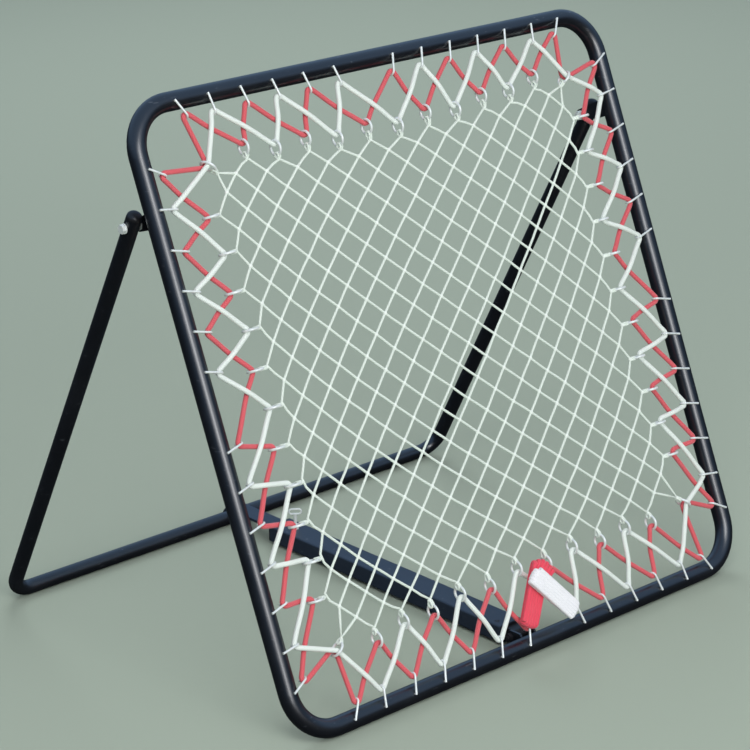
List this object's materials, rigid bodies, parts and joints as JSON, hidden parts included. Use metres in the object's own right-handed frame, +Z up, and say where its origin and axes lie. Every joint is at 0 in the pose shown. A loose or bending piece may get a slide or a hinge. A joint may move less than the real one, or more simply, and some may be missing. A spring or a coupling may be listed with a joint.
{
  "type": "pitch back rebounder",
  "caption": "Square leaning tube frame with a net on bungee cords, a hinged U-shaped rear leg and a sliding ground strut.",
  "frame": {"origin": "on the ground, under the middle of the part's overall box", "axes": "+X to the right as seen from the side that the ball comes from, +Y away from the player towards the rear leg, +Z up"},
  "size_m": [1.0172, 0.821, 0.9328],
  "materials": {
    "black_paint": "glossy blue-black powder coat",
    "strut_paint": "satin dark slate powder coat",
    "zinc_steel": "bright zinc plate",
    "red_cord": "braided cover with fine lengthwise lines",
    "white_cord": "braided cover",
    "net_twine": "twisted twine, knotted",
    "black_plastic": "moulded, slightly glossy"
  },
  "bodies": {
    "frame": {"main_frame": "black_paint", "hooks_top": "zinc_steel", "hooks_left": "zinc_steel", "hooks_bottom": "zinc_steel", "hooks_right": "zinc_steel", "net": "net_twine", "net_rings_top": "zinc_steel", "net_rings_left": "zinc_steel", "net_rings_bottom": "zinc_steel", "net_rings_right": "zinc_steel", "corner_rings": "zinc_steel", "red_bungee": "red_cord", "white_bungee": "white_cord", "red_hank": "red_cord", "white_hank": "white_cord", "left_leg_bracket": "black_paint", "right_leg_bracket": "black_paint", "leg_bolts": "zinc_steel", "leg_nuts": "zinc_steel", "leg_washers": "zinc_steel", "strut_bracket": "black_paint", "strut_pivot_bolt": "black_paint", "strut_pivot_nut": "black_paint"},
    "rear_leg": {"rear_leg": "black_paint", "leg_caps": "black_plastic"},
    "strut": {"strut_box_tube": "strut_paint", "strut_end_fitting": "black_plastic", "strut_rivets": "strut_paint", "strut_guide_bush": "black_plastic", "clamp_nut": "zinc_steel"},
    "slide_bar": {"strut_slide_bar": "strut_paint"},
    "clamp_screw": {"clamp_screw": "zinc_steel"}
  },
  "joints": [
    {"name": "leg_fold", "type": "hinge", "parent": "frame", "child": "rear_leg", "pos_m": [0, -0.01807, 0.74157], "axis": [-1, 0, 0], "range_deg": [0, 50.9]},
    {"name": "strut_fold", "type": "hinge", "parent": "frame", "child": "strut", "pos_m": [0, -0.33766, 0.0205], "axis": [1, 0, 0], "range_deg": [0, 64]},
    {"name": "strut_slide", "type": "slide", "parent": "strut", "child": "slide_bar", "axis": [0, 1, 0], "range_m": [0, 0.1]},
    {"name": "clamp_turn", "type": "hinge", "parent": "strut", "child": "clamp_screw", "pos_m": [0, 0.22384, 0.07], "axis": [0, 0, 1], "range_deg": [0, 360]}
  ]
}
